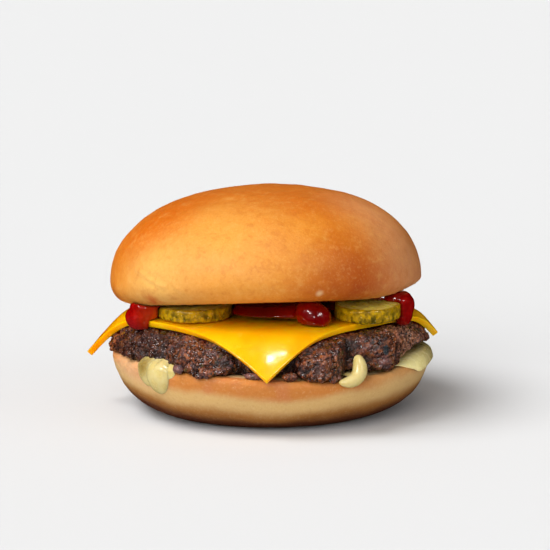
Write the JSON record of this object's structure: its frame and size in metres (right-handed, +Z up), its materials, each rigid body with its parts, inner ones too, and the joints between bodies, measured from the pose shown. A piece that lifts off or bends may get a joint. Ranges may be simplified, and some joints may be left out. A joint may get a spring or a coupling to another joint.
{
  "type": "cheeseburger",
  "caption": "Round soft-bun cheeseburger: ground-beef patty, square cheese slice with hanging corners, pickle chips, ketchup and pale sauce.",
  "frame": {"origin": "middle of the bun heel's flat base, where the burger rests", "axes": "+Z up through the crown, -Y towards the side that the hanging cheese corner marks as the front, +X to the right as seen from that side"},
  "size_m": [0.1183, 0.1144, 0.0741],
  "materials": {
    "bun_crust": "satin, baked golden, fine pores",
    "beef": "seared, craggy, wet glints",
    "cheese": "smooth, half melted, soft gloss",
    "pickle": "wet, bumpy skin and pale cut face",
    "ketchup": "thick, glossy",
    "sauce": "creamy, glossy"
  },
  "bodies": {
    "root": {"bun_heel": "bun_crust", "bun_crown": "bun_crust", "beef_patty": "beef", "cheese_slice": "cheese", "pickle_left": "pickle", "pickle_right": "pickle", "ketchup": "ketchup", "pale_sauce": "sauce"}
  },
  "joints": []
}
